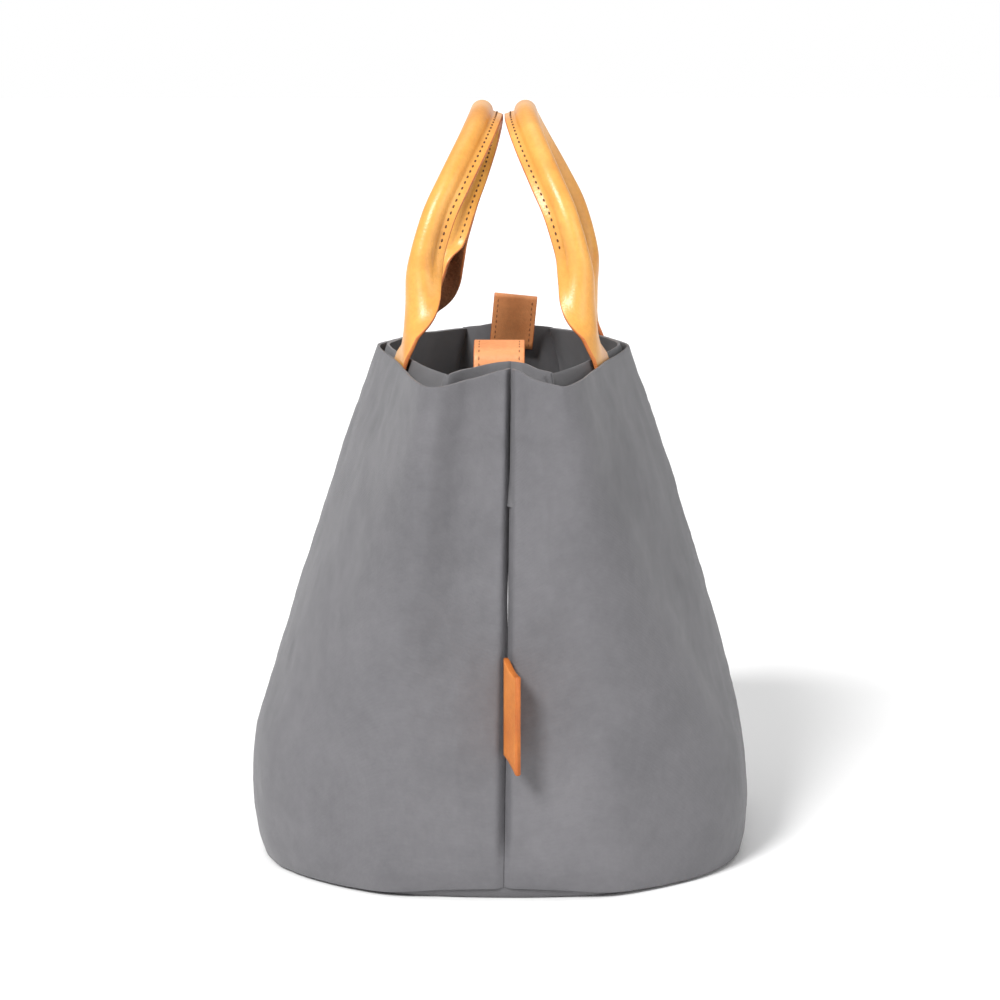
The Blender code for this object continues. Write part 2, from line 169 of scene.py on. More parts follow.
def addStage():
    bm = bmesh.new()
    bmesh.ops.create_grid(bm, x_segments=2, y_segments=2, size=stage["floorSize"] / 2)
    mesh = bpy.data.meshes.new("floor")
    bm.to_mesh(mesh)
    bm.free()
    floor = bpy.data.objects.new("floor", mesh)
    bpy.context.scene.collection.objects.link(floor)
    mesh.materials.append(plainMaterial("floorPaint", stage["floorColour"], 0.9))
    world = bpy.data.worlds.new("studio")
    world.use_nodes = True
    tree = world.node_tree
    background = tree.nodes["Background"]
    background.inputs["Color"].default_value = (1, 1, 1, 1)
    coords = tree.nodes.new("ShaderNodeTexCoord")
    split = tree.nodes.new("ShaderNodeSeparateXYZ")
    tree.links.new(coords.outputs["Generated"], split.inputs["Vector"])
    behind = addNode(tree, "ShaderNodeMapRange")
    tree.links.new(split.outputs["Y"], behind.inputs["Value"])
    for label, value in (("From Min", 0.80), ("From Max", 0.93), ("To Min", stage["worldLow"]),
                         ("To Max", stage["worldHigh"])):
        behind.inputs[label].default_value = value
    tree.links.new(behind.outputs["Result"], background.inputs["Strength"])
    bpy.context.scene.world = world
    for name, place, spread, strength in stage["suns"]:
        data = bpy.data.lights.new(name, "SUN")
        data.angle = math.radians(spread)
        data.energy = strength
        light = bpy.data.objects.new(name, data)
        light.location = place
        light.rotation_euler = (-Vector(place)).to_track_quat("-Z", "Y").to_euler()
        bpy.context.scene.collection.objects.link(light)
    bpy.context.scene.view_settings.view_transform = "Standard"


# Materials

def newMaterial(name, roughness):
    material = bpy.data.materials.new(name)
    material.use_nodes = True
    shader = material.node_tree.nodes["Principled BSDF"]
    shader.inputs["Roughness"].default_value = roughness
    return material, material.node_tree, shader


def plainMaterial(name, colour, roughness):
    material, tree, shader = newMaterial(name, roughness)
    shader.inputs["Base Color"].default_value = (*colour, 1)
    return material


def addNode(tree, kind, **values):
    node = tree.nodes.new(kind)
    for key, value in values.items():
        if key in node.inputs:
            node.inputs[key].default_value = value
        else:
            setattr(node, key, value)
    return node


def mixColour(tree, mode, factor, first, second):
    node = tree.nodes.new("ShaderNodeMix")
    node.data_type = "RGBA"
    node.blend_type = mode
    for socket, value in ((0, factor), (6, first), (7, second)):
        if hasattr(value, "is_output"):
            tree.links.new(value, node.inputs[socket])
        else:
            node.inputs[socket].default_value = value
    return node.outputs[2]


def ramp(tree, source, low, high):
    node = tree.nodes.new("ShaderNodeMapRange")
    node.inputs["From Min"].default_value = low
    node.inputs["From Max"].default_value = high
    tree.links.new(source, node.inputs["Value"])
    return node.outputs["Result"]


def newGroup(name, inputs, outputs):
    group = bpy.data.node_groups.new(name, "ShaderNodeTree")
    for label, kind, value in inputs:
        socket = group.interface.new_socket(label, in_out="INPUT", socket_type=kind)
        if value is not None:
            socket.default_value = value
    for label, kind in outputs:
        group.interface.new_socket(label, in_out="OUTPUT", socket_type=kind)
    start = group.nodes.new("NodeGroupInput")
    end = group.nodes.new("NodeGroupOutput")
    return group, start, end


def crinkleGroup():
    # washed cloth: broad mottling, sharp little creases and a plain weave
    group, start, end = newGroup("washedCloth", [
        ("Colour", "NodeSocketColor", None), ("Dark", "NodeSocketColor", None),
        ("Crease Scale", "NodeSocketFloat", 90.0), ("Crease", "NodeSocketFloat", 0.35),
        ("Weave", "NodeSocketFloat", 0.25)],
        [("Colour", "NodeSocketColor"), ("Roughness", "NodeSocketFloat"), ("Normal", "NodeSocketVector")])
    links = group.links
    coords = group.nodes.new("ShaderNodeTexCoord")
    broad = addNode(group, "ShaderNodeTexNoise", Scale=17.0, Detail=5.0, Roughness=0.62)
    fine = addNode(group, "ShaderNodeTexNoise", Scale=210.0, Detail=4.0, Roughness=0.7)
    warp = addNode(group, "ShaderNodeTexNoise", Scale=28.0, Detail=2.0)
    for node in (broad, fine, warp):
        links.new(coords.outputs["Object"], node.inputs["Vector"])
    moved = addNode(group, "ShaderNodeVectorMath", operation="MULTIPLY_ADD")
    links.new(warp.outputs["Color"], moved.inputs[0])
    moved.inputs[1].default_value = (0.03, 0.03, 0.03)
    links.new(coords.outputs["Object"], moved.inputs[2])
    creases = addNode(group, "ShaderNodeTexNoise", noise_type="RIDGED_MULTIFRACTAL", normalize=True,
                      Detail=4.0, Roughness=0.6)
    links.new(moved.outputs["Vector"], creases.inputs["Vector"])
    links.new(start.outputs["Crease Scale"], creases.inputs["Scale"])
    uv = group.nodes.new("ShaderNodeUVMap")
    uv.uv_map = "cloth"
    warpWave = addNode(group, "ShaderNodeTexWave", Scale=470.0, bands_direction="X", Distortion=1.2)
    weftWave = addNode(group, "ShaderNodeTexWave", Scale=470.0, bands_direction="Y", Distortion=1.2)
    for wave in (warpWave, weftWave):
        links.new(uv.outputs["UV"], wave.inputs["Vector"])
    weave = addNode(group, "ShaderNodeMath", operation="MULTIPLY")
    links.new(warpWave.outputs["Fac"], weave.inputs[0])
    links.new(weftWave.outputs["Fac"], weave.inputs[1])
    patch = addNode(group, "ShaderNodeMath", operation="MULTIPLY_ADD")
    links.new(fine.outputs["Fac"], patch.inputs[0])
    patch.inputs[1].default_value = 0.45
    links.new(broad.outputs["Fac"], patch.inputs[2])
    mask = ramp(group, patch.outputs["Value"], 0.48, 0.98)
    colour = mixColour(group, "MIX", mask, start.outputs["Dark"], start.outputs["Colour"])
    threadTone = addNode(group, "ShaderNodeMapRange")
    links.new(weave.outputs["Value"], threadTone.inputs["Value"])
    threadTone.inputs["To Min"].default_value = 0.93
    threadTone.inputs["To Max"].default_value = 1.10
    tone = addNode(group, "ShaderNodeVectorMath", operation="SCALE")
    links.new(colour, tone.inputs[0])
    links.new(threadTone.outputs["Result"], tone.inputs["Scale"])
    links.new(tone.outputs["Vector"], end.inputs["Colour"])
    rough = addNode(group, "ShaderNodeMapRange")
    links.new(broad.outputs["Fac"], rough.inputs["Value"])
    rough.inputs["To Min"].default_value = 0.72
    rough.inputs["To Max"].default_value = 0.50
    links.new(rough.outputs["Result"], end.inputs["Roughness"])
    folds = addNode(group, "ShaderNodeMath", operation="MULTIPLY_ADD")
    links.new(fine.outputs["Fac"], folds.inputs[0])
    folds.inputs[1].default_value = 0.22
    links.new(creases.outputs["Fac"], folds.inputs[2])
    creaseBump = addNode(group, "ShaderNodeBump", Distance=0.0022)
    links.new(folds.outputs["Value"], creaseBump.inputs["Height"])
    links.new(start.outputs["Crease"], creaseBump.inputs["Strength"])
    weaveBump = addNode(group, "ShaderNodeBump", Distance=0.00025)
    links.new(weave.outputs["Value"], weaveBump.inputs["Height"])
    links.new(start.outputs["Weave"], weaveBump.inputs["Strength"])
    links.new(creaseBump.outputs["Normal"], weaveBump.inputs["Normal"])
    links.new(weaveBump.outputs["Normal"], end.inputs["Normal"])
    return group


def leatherGroup():
    # smooth waxed leather: cloudy tone, fine grain and a few scuffs
    group, start, end = newGroup("waxedLeather", [
        ("Light", "NodeSocketColor", None), ("Deep", "NodeSocketColor", None),
        ("Grain Scale", "NodeSocketFloat", 900.0), ("Grain", "NodeSocketFloat", 0.25),
        ("Roughness", "NodeSocketFloat", 0.4)],
        [("Colour", "NodeSocketColor"), ("Roughness", "NodeSocketFloat"), ("Normal", "NodeSocketVector")])
    links = group.links
    coords = group.nodes.new("ShaderNodeTexCoord")
    cloud = addNode(group, "ShaderNodeTexNoise", Scale=38.0, Detail=4.0, Roughness=0.55)
    pores = addNode(group, "ShaderNodeTexNoise", Scale=520.0, Detail=3.0, Roughness=0.6)
    grain = addNode(group, "ShaderNodeTexVoronoi", feature="F1")
    for node in (cloud, pores, grain):
        links.new(coords.outputs["Object"], node.inputs["Vector"])
    links.new(start.outputs["Grain Scale"], grain.inputs["Scale"])
    mask = ramp(group, cloud.outputs["Fac"], 0.30, 0.70)
    colour = mixColour(group, "MIX", mask, start.outputs["Deep"], start.outputs["Light"])
    speck = addNode(group, "ShaderNodeMapRange")
    links.new(pores.outputs["Fac"], speck.inputs["Value"])
    speck.inputs["From Min"].default_value = 0.3
    speck.inputs["From Max"].default_value = 0.7
    speck.inputs["To Min"].default_value = 0.92
    speck.inputs["To Max"].default_value = 1.04
    tone = addNode(group, "ShaderNodeVectorMath", operation="SCALE")
    links.new(colour, tone.inputs[0])
    links.new(speck.outputs["Result"], tone.inputs["Scale"])
    links.new(tone.outputs["Vector"], end.inputs["Colour"])
    shine = addNode(group, "ShaderNodeMath", operation="MULTIPLY_ADD")
    links.new(cloud.outputs["Fac"], shine.inputs[0])
    shine.inputs[1].default_value = 0.12
    links.new(start.outputs["Roughness"], shine.inputs[2])
    links.new(shine.outputs["Value"], end.inputs["Roughness"])
    height = addNode(group, "ShaderNodeMath", operation="MULTIPLY_ADD")
    links.new(pores.outputs["Fac"], height.inputs[0])
    height.inputs[1].default_value = 0.8
    links.new(grain.outputs["Distance"], height.inputs[2])
    bump = addNode(group, "ShaderNodeBump", Distance=0.0004)
    links.new(height.outputs["Value"], bump.inputs["Height"])
    links.new(start.outputs["Grain"], bump.inputs["Strength"])
    links.new(bump.outputs["Normal"], end.inputs["Normal"])
    return group


def groupMaterial(name, group, values, sheen=0.0, coat=0.0):
    material, tree, shader = newMaterial(name, 0.5)
    node = tree.nodes.new("ShaderNodeGroup")
    node.node_tree = group
    for label, value in values.items():
        node.inputs[label].default_value = (*value, 1) if isinstance(value, tuple) else value
    tree.links.new(node.outputs["Colour"], shader.inputs["Base Color"])
    tree.links.new(node.outputs["Roughness"], shader.inputs["Roughness"])
    tree.links.new(node.outputs["Normal"], shader.inputs["Normal"])
    shader.inputs["Sheen Weight"].default_value = sheen
    shader.inputs["Sheen Roughness"].default_value = 0.5
    shader.inputs["Coat Weight"].default_value = coat
    shader.inputs["Coat Roughness"].default_value = 0.35
    return material


addCamera()
addStage()
cloth = crinkleGroup()
leather = leatherGroup()
finishes = {
    "wall": groupMaterial("greyCloth", cloth, {
        "Colour": (0.150, 0.146, 0.156), "Dark": (0.108, 0.106, 0.114),
        "Crease Scale": 42.0, "Crease": 0.40, "Weave": 0.5}, sheen=0.10),
    "facing": groupMaterial("greyClothInside", cloth, {
        "Colour": (0.165, 0.161, 0.169), "Dark": (0.122, 0.120, 0.126),
        "Crease Scale": 50.0, "Crease": 0.30, "Weave": 0.5}, sheen=0.10),
    "base": groupMaterial("greyClothBase", cloth, {
        "Colour": (0.125, 0.122, 0.130), "Dark": (0.092, 0.090, 0.096),
        "Crease Scale": 42.0, "Crease": 0.25, "Weave": 0.5}, sheen=0.1),
    "grain": groupMaterial("honeyLeather", leather, {
        "Light": (0.80, 0.40, 0.085), "Deep": (0.66, 0.27, 0.045),
        "Grain Scale": 900.0, "Grain": 0.18, "Roughness": 0.30}, coat=0.2),
    "cut": groupMaterial("leatherEdge", leather, {
        "Light": (0.62, 0.20, 0.05), "Deep": (0.48, 0.12, 0.03),
        "Grain Scale": 1600.0, "Grain": 0.5, "Roughness": 0.5}),
    "flesh": groupMaterial("leatherBack", leather, {
        "Light": (0.42, 0.18, 0.08), "Deep": (0.30, 0.11, 0.045),
        "Grain Scale": 700.0, "Grain": 0.9, "Roughness": 0.8}),
    "tab": groupMaterial("tabLeather", leather, {
        "Light": (0.78, 0.33, 0.13), "Deep": (0.66, 0.24, 0.085),
        "Grain Scale": 1000.0, "Grain": 0.2, "Roughness": 0.42}),
    "tag": groupMaterial("tagLeather", leather, {
        "Light": (0.66, 0.23, 0.05), "Deep": (0.54, 0.16, 0.03),
        "Grain Scale": 1000.0, "Grain": 0.2, "Roughness": 0.40}),
    "tagEdge": groupMaterial("tagLeatherEdge", leather, {
        "Light": (0.52, 0.15, 0.02), "Deep": (0.38, 0.09, 0.012),
        "Grain Scale": 1600.0, "Grain": 0.4, "Roughness": 0.5}),
    "tabThread": plainMaterial("tabThread", (0.33, 0.13, 0.05), 0.6),
    "darkThread": plainMaterial("darkThread", (0.10, 0.035, 0.012), 0.6),
}
print("stage and finishes made")


# Cloth walls

PlanRow = namedtuple("PlanRow", "rimX rimY baseX baseY rimRise facingRise lift slack tuck")
Level = namedtuple("Level", "height width length plan")
Fold = namedtuple("Fold", "side placeA heightA placeB heightB reach depth")
FacingRow = namedtuple("FacingRow", "depth slack room")
walls = {
    "height": 0.262, "baseWidth": 0.262, "baseLength": 0.330, "rimWidth": 0.134, "rimLength": 0.352,
    "cloth": 0.0015, "seamGap": 0.0004, "layerGap": 0.0005, "edgeHeight": 0.0015, "seamLift": 0.0045,
    "swayTop": 0.0060, "swayFoot": 0.0025, "swayRows": 2.5, "farSag": 0.0040,
    "columns": 168, "rows": 104, "facingColumns": 140, "facingGridRows": 30,
    "halfLoop": 0.50,        # metres of cloth from seam to seam
    "seamDensity": 0.6,      # how much closer the columns are at the seams
    # the panels' edges turn in at the end seams, less so at the floor
    "grooveDepth": 0.0060, "grooveReach": 0.0019, "grooveFoot": 0.25, "placeWidth": 0.0235,
    "crease": 0.0010, "creaseSize": 0.042,          # crumpling of washed cloth
    "ripple": 0.0005, "rippleSize": 0.013,
    "plan": [  # from the end seam to the middle of the side, shares as in the solids
        PlanRow(0.00, 0.915, 0.00, 0.965, 0.022, 0.01, 1.00, 1.00, 0.00),
        PlanRow(0.23, 0.945, 0.23, 0.955, -0.01, 0.014, 0.75, 1.00, 0.10),
        PlanRow(0.46, 0.975, 0.46, 0.915, -0.032, 0.016, 0.15, 1.00, 0.60),
        PlanRow(0.60, 0.90, 0.72, 0.76, -0.022, 0.015, 0.00, 0.70, 1.00),
        PlanRow(0.715, 0.67, 0.885, 0.595, -0.008, 0.012, 0.00, 0.20, 0.45),
        PlanRow(0.80, 0.465, 0.968, 0.41, 0.00, 0.012, 0.00, 0.00, 0.05),
        PlanRow(0.93, 0.225, 0.995, 0.205, 0.006, 0.01, 0.00, 0.00, 0.00),
        PlanRow(1.00, 0.00, 1.00, 0.00, 0.01, 0.008, 0.00, 0.00, 0.00),
    ],
    "levels": [
        Level(0.000, 0.945, 1.20, 1.00),
        Level(0.040, 0.980, 0.92, 1.00),
        Level(0.125, 0.992, 0.80, 0.98),
        Level(0.250, 0.938, 0.74, 0.91),
        Level(0.370, 0.822, 0.68, 0.81),
        Level(0.490, 0.682, 0.58, 0.69),
        Level(0.610, 0.532, 0.46, 0.55),
        Level(0.730, 0.380, 0.34, 0.41),
        Level(0.830, 0.248, 0.22, 0.27),
        Level(0.920, 0.112, 0.10, 0.13),
        Level(1.000, 0.000, 0.00, 0.00),
    ],
    "folds": [  # soft folds pressed in (positive) or out of the wall
        Fold(-1, 2.0, 0.98, 1.7, 0.60, 0.11, -0.022),
        Fold(-1, 0.9, 0.95, 0.9, 0.66, 0.13, 0.022),
        Fold(1, 0.8, 1.02, 0.8, 0.60, 0.13, -0.024),
        Fold(1, 1.6, 0.92, 1.8, 0.60, 0.10, 0.014),
        Fold(1, 2.9, 1.02, 3.2, 0.82, 0.20, 0.014),
        Fold(1, 3.0, 0.86, 4.4, 0.30, 0.14, -0.012),
        Fold(1, 3.4, 0.80, 4.9, 0.34, 0.14, 0.018),
        Fold(-1, 3.1, 0.80, 3.9, 0.38, 0.16, 0.018),
        Fold(-1, 4.6, 0.44, 5.4, 0.14, 0.38, -0.020),
        Fold(-1, 4.8, 0.18, 5.8, 0.07, 0.30, -0.030),
        Fold(1, 4.4, 0.50, 5.2, 0.36, 0.30, 0.018),
        Fold(-1, 10.9, 0.90, 10.2, 0.45, 0.14, 0.020),
        Fold(1, 12.6, 0.92, 11.4, 0.50, 0.12, 0.018),
    ],
    "facingDepth": 0.070, "facingSlack": 0.011, "facingTuck": 0.008,
    "facingRows": [
        FacingRow(0.00, 1.00, 1.00), FacingRow(0.16, 0.80, 1.00), FacingRow(0.42, 0.52, 1.00),
        FacingRow(0.72, 0.15, 1.00), FacingRow(1.00, 0.00, 0.00),
    ],
}
sideMiddle = len(walls["plan"]) - 1


def planValues(field):
    quarter = [getattr(row, field) for row in walls["plan"]]
    across = -1 if field.endswith("X") else 1
    along = -1 if field.endswith("Y") else 1
    half = [along * value for value in quarter] + quarter[-2::-1]
    return [across * half[1]] + half + [across * half[-2]]


planCurves = {field: planValues(field) for field in PlanRow._fields}


def plan(field, place):
    return spline(planCurves[field], place + 1)


def level(field, height):
    rows = walls["levels"]
    index = 0
    while index < len(rows) - 2 and height > rows[index + 1].height:
        index += 1
    low, high = rows[index], rows[index + 1]
    share = (height - low.height) / (high.height - low.height)
    if share > 1 or share < 0:
        return lerp(getattr(low, field), getattr(high, field), share)
    return spline([getattr(row, field) for row in rows], index + share)


def wallBottom(place):
    return walls["edgeHeight"] + walls["seamLift"] * plan("lift", place)


def wallTop(place):
    far = min(max((place - sideMiddle) / sideMiddle, 0.0), 1.0)
    return walls["height"] + walls["rimWidth"] * plan("rimRise", place) - walls["farSag"] * far


def heightShare(place, z):
    low = wallBottom(place)
    return (z - low) / (wallTop(place) - low)


def foldDepth(side, place, height):
    column = walls["baseLength"] / sideMiddle / 2
    total = 0.0
    for fold in walls["folds"]:
        if fold.side != side:
            continue
        start = Vector((fold.placeA * column, fold.heightA * walls["height"]))
        end = Vector((fold.placeB * column, fold.heightB * walls["height"]))
        here = Vector((place * column, height * walls["height"]))
        line = end - start
        share = min(max((here - start).dot(line) / line.length_squared, 0.0), 1.0)
        away = (here - start - line * share).length / (fold.reach * walls["rimWidth"])
        total += fold.depth * walls["rimWidth"] * math.exp(-away ** 2)
    return total * min(1.0, max(0.0, height) / walls["levels"][3].height)


def seamSway(place, height):
    # how far the near end seam leans to +X
    near = max(0.0, 1 - max(0.0, place) / walls["swayRows"])
    return lerp(walls["swayFoot"], walls["swayTop"], height) * near * near * (3 - 2 * near)


def bareWall(side, place, height):
    mix = level("plan", height)
    halfX = lerp(walls["rimWidth"], walls["baseWidth"], level("width", height)) / 2
    halfY = lerp(walls["rimLength"], walls["baseLength"], level("length", height)) / 2
    x = halfX * lerp(plan("rimX", place), plan("baseX", place), mix)
    y = halfY * lerp(plan("rimY", place), plan("baseY", place), mix)
    z = lerp(wallBottom(place), wallTop(place), height)
    return Vector((side * (x + walls["seamGap"] / 2) + seamSway(place, height), y, z))


def wallNormal(side, place, height):
    step = 0.02
    along = bareWall(side, place + step, height) - bareWall(side, place - step, height)
    up = bareWall(side, place, height + step) - bareWall(side, place, height - step)
    return along.cross(up).normalized() * side


def wallPoint(side, place, height, inset=0.0):
    push = inset + foldDepth(side, place, height)
    point = bareWall(side, place, height) - wallNormal(side, place, height) * push
    seamX = seamSway(place, height)
    point.x = seamX + side * max(side * (point.x - seamX), walls["seamGap"] / 2)
    return point


def crumple(point, amount, size, seed):
    # sharp ridges between soft hollows, as in washed cloth
    spot = point / size + Vector((seed, seed * 0.7, seed * 1.3))
    broad = noise.noise(spot * 0.45)
    ridge = 1 - 2 * abs(noise.noise(spot))
    small = 1 - 2 * abs(noise.noise(spot * 2.1 + Vector((5.2, 1.3, 9.1))))
    return amount * (0.9 * broad + 0.7 * (ridge - 0.5) + 0.35 * (small - 0.5))


def clothGrid(side, columns, rows, placePoint, seed, calm):
    # grid in metres of cloth, moved on to its place and then crumpled along its normals
    bm = bmesh.new()
    bmesh.ops.create_grid(bm, x_segments=columns, y_segments=rows, size=0.5, calc_uvs=False)
    uvLayer = bm.loops.layers.uv.new("cloth")
    shares = {}
    for vert in bm.verts:
        share = vert.co.x + 0.5
        dense = share - walls["seamDensity"] * math.sin(2 * math.pi * share) / (2 * math.pi)
        shares[vert] = (dense, vert.co.y + 0.5)
    for face in bm.faces:
        for loop in face.loops:
            across, up = shares[loop.vert]
            loop[uvLayer].uv = (across * walls["halfLoop"], up * walls["height"])
    for vert in bm.verts:
        across, up = shares[vert]
        vert.co = placePoint(across * 2 * sideMiddle, up)
    bm.normal_update()
    if sum(face.normal.x for face in bm.faces) * side < 0:
        bmesh.ops.reverse_faces(bm, faces=bm.faces)
        bm.normal_update()
    moves = []
    for vert in bm.verts:
        across, up = shares[vert]
        stretched = Vector((vert.co.x, vert.co.y, vert.co.z * 0.55))
        push = crumple(stretched, walls["crease"], walls["creaseSize"], seed)
        push += crumple(vert.co, walls["ripple"], walls["rippleSize"], seed + 3)
        moves.append((vert, vert.normal.copy() * push * calm(across, up)))
    for vert, move in moves:
        across, up = shares[vert]
        vert.co += move
        place = across * 2 * sideMiddle
        seamX = seamSway(place, up)
        free = smoothStep(0.06, 0.30, min(place, 2 * sideMiddle - place))
        clean = bareWall(side, place, up).x - side * walls["seamGap"] / 2
        vert.co.x = lerp(clean, vert.co.x, free)   # the two sides touch along the seam
        vert.co.x = seamX + side * max(side * (vert.co.x - seamX), 0.0)
    return bm


def grooveAt(place, up):
    # how far the panels' edges turn in at the end seams, less near the floor
    nearSeam = min(place, 2 * sideMiddle - place) * walls["placeWidth"]
    depth = walls["grooveDepth"] * lerp(walls["grooveFoot"], 1.0, smoothStep(0.03, 0.12, up))
    return depth * math.exp(-(nearSeam / walls["grooveReach"]) ** 2)


def addWall(name, side, seed):
    def placePoint(place, up):
        return wallPoint(side, place, up, grooveAt(place, up))

    def calm(across, up):
        edge = min(across, 1 - across) * 2 * sideMiddle
        return (0.35 + 0.65 * smoothStep(0.0, 0.8, edge)) * (0.35 + 0.65 * smoothStep(0.0, 0.10, up)) \
            * (0.5 + 0.5 * smoothStep(1.0, 0.92, up))

    bm = clothGrid(side, walls["columns"], walls["rows"], placePoint, seed, calm)
    return finishPiece(name, bm, [finishes["wall"]], [name],
                       solidify=walls["cloth"], bevel=0.0004)


def facingPoint(side, place, up, depth=0.0):
    # the facing hangs clear of the wall towards the ends
    row = (1 - up) * (len(walls["facingRows"]) - 1)
    hang = spline([r.slack for r in walls["facingRows"]], row)
    room = min(1.0, spline([r.room for r in walls["facingRows"]], row))
    strapRoom = (handles["leather"] + walls["layerGap"]) * room
    inset = walls["cloth"] + walls["layerGap"] + strapRoom + depth
    point = wallPoint(side, place, facingHeight(place, up), inset)
    slack = hang * walls["facingSlack"] * max(0.0, plan("slack", place))
    tuck = hang * walls["facingTuck"] * max(0.0, plan("tuck", place))
    return point - Vector((side * tuck, math.copysign(slack, point.y), 0))


def facingHeight(place, up):
    row = (1 - up) * (len(walls["facingRows"]) - 1)
    depth = spline([r.depth for r in walls["facingRows"]], row)
    top = wallTop(place) + walls["height"] * plan("facingRise", place)
    return heightShare(place, top - walls["facingDepth"] * depth)


def addFacing(name, side, seed):
    def placePoint(place, up):
        row = (1 - up) * (len(walls["facingRows"]) - 1)
        hang = min(1.0, spline([r.slack for r in walls["facingRows"]], row))
        return facingPoint(side, place, up, grooveAt(place, 1.0) * (1 - hang))

    def calm(across, up):
        return 0.3

    bm = clothGrid(side, walls["facingColumns"], walls["facingGridRows"], placePoint, seed, calm)
    return finishPiece(name, bm, [finishes["facing"]], [name],
                       solidify=walls["cloth"], bevel=0.0004)


tray = {"thickness": 0.002, "turnUp": 0.012, "edgeRadius": 0.006, "bendSteps": 6, "floorRings": 14}


def addBase(name):
    places = [index / 8 for index in range(2 * sideMiddle * 8 + 1)]
    seat = walls["cloth"] + walls["layerGap"]

    def ring(z, inset):
        left = [wallPoint(-1, p, max(0.0, heightShare(p, z)), inset) for p in places]
        right = [wallPoint(1, p, max(0.0, heightShare(p, z)), inset) for p in places]
        return [Vector((point.x, point.y, z)) for point in left + right[::-1]]

    turn = tray["edgeRadius"]
    bend = turn - tray["thickness"]
    arc = [math.radians(90) * step / tray["bendSteps"] for step in range(tray["bendSteps"] + 1)]
    loops = [ring(turn * (1 - math.cos(a)), seat + turn * (1 - math.sin(a))) for a in arc]
    loops += [ring(tray["turnUp"], seat), ring(tray["turnUp"], seat + tray["thickness"])]
    loops += [ring(turn - bend * math.cos(a), seat + turn - bend * math.sin(a)) for a in arc[::-1]]
    floor = loops[-1]
    for step in range(1, tray["floorRings"] + 1):
        share = 1 - step / (tray["floorRings"] + 0.5)
        loops.append([Vector((p.x * share, p.y * share, p.z)) for p in floor])
    bm = bmesh.new()
    first = startRing(bm, loops[0])
    ringNow = first
    for loop in loops[1:]:
        ringNow = extrudeRing(bm, ringNow, loop)
    closeRing(bm, ringNow)
    closeRing(bm, first[::-1])
    bmesh.ops.recalc_face_normals(bm, faces=bm.faces)
    uvLayer = bm.loops.layers.uv.new("cloth")
    for face in bm.faces:
        for loop in face.loops:
            loop[uvLayer].uv = (loop.vert.co.x, loop.vert.co.y)
    return finishPiece(name, bm, [finishes["base"]], [name])


# Handles

LegRow = namedtuple("LegRow", "up along across curl tilt turn")
handles = {
    "leather": 0.002, "rise": 0.127, "roll": 0.012, "flange": 0.0055, "slit": 0.0005,
    "strap": 0.034, "strapDepth": 0.045, "touchGap": 0.0004,
    "leftSkew": (0.0, 0.008), "rightSkew": (-0.0015, 0.004),   # at the near and the far leg
    "strapPlace": 5.0, "wrap": math.radians(318), "fill": 0.8,
    "sides": 24, "stepsPerRow": 8, "edgeRound": 0.0005,
    "stitchPitch": 0.0036, "stitchLength": 0.0019, "stitchRadius": 0.0005, "stitchIn": 0.0021,
    "legs": [
        LegRow(0.110, 1.000, 0.935, 0.16, 12, 8),
        LegRow(0.220, 1.000, 0.885, 0.42, 6, 24),
        LegRow(0.350, 0.995, 0.860, 0.68, 8, 34),
        LegRow(0.450, 0.975, 0.810, 0.97, 11, 18),
        LegRow(0.600, 0.915, 0.650, 1.00, 15, 4),
        LegRow(0.740, 0.800, 0.415, 1.00, 19, 0),
        LegRow(0.880, 0.590, 0.170, 1.00, 20, 0),
        LegRow(0.970, 0.310, 0.030, 1.00, 20, 0),
        LegRow(1.000, 0.000, 0.000, 1.00, 19, 0),
    ],
}


def flapRun(curl, width):
    # shape values of the strap's section: radius, wrap, flange direction
    closedRadius = handles["roll"] / 2
    wrap = max(handles["wrap"] * curl, math.radians(4))
    arcLength = lerp(width - 2 * handles["flange"], closedRadius * handles["wrap"], curl)
    radius = arcLength / wrap
    turn = min(wrap / 2, math.radians(90))
    return radius, wrap, Vector((math.cos(turn), -math.sin(turn)))


def handleSection(curl, width):
    # (along the strap's width, out of its grain face) pairs and the slot of each edge
    radius, wrap, flange = flapRun(curl, width)
    fill = handles["fill"] * smoothStep(0.72, 1.0, curl)
    innerRadius = (radius - handles["leather"]) * (1 - fill)
    across = Vector((flange.y, -flange.x))
    outer, inner = [], []
    sides = handles["sides"]
    for index in range(sides + 1):
        angle = wrap * (index / sides - 0.5)
        spoke = Vector((math.sin(angle), math.cos(angle)))
        outer.append(spoke * radius - Vector((0, radius)))
        inner.append(spoke * innerRadius - Vector((0, radius)))
    end = outer[-1].copy()
    end.x = max(end.x, handles["leather"] + handles["slit"] / 2)
    outer[-1] = end
    root = end + across * handles["leather"]
    inner[-1] = root
    tip = end + flange * handles["flange"]
    tipInner = tip + across * handles["leather"]
    soft = handles["edgeRound"]
    middle = end + flange * handles["flange"] * 0.5
    half = [middle, tip - flange * soft, tip - flange * soft * 0.3 + across * soft * 0.3,
            tip + across * soft, tipInner - across * soft,
            tipInner - flange * soft * 0.3 - across * soft * 0.3, tipInner - flange * soft,
            middle + across * handles["leather"]]

    def mirror(point):
        return Vector((-point.x, point.y))

    outer[0], inner[0] = mirror(end), mirror(root)
    # slots: 0 grain face, 1 cut edge, 2 flesh side
    parts = [([mirror(p) for p in half[:2]][::-1], 0), (outer, 0), (half[:2], 0), (half[2:6], 1),
             (half[6:], 2), (inner[::-1], 2), ([mirror(p) for p in half[6:]][::-1], 2),
             ([mirror(p) for p in half[2:6]][::-1], 1)]
    points = [point for part, slot in parts for point in part]
    slots = [slot for part, slot in parts for point in part]
    slots[slots.index(1) - 1] = 1
    slots[len(slots) - 5] = 1
    return points, slots


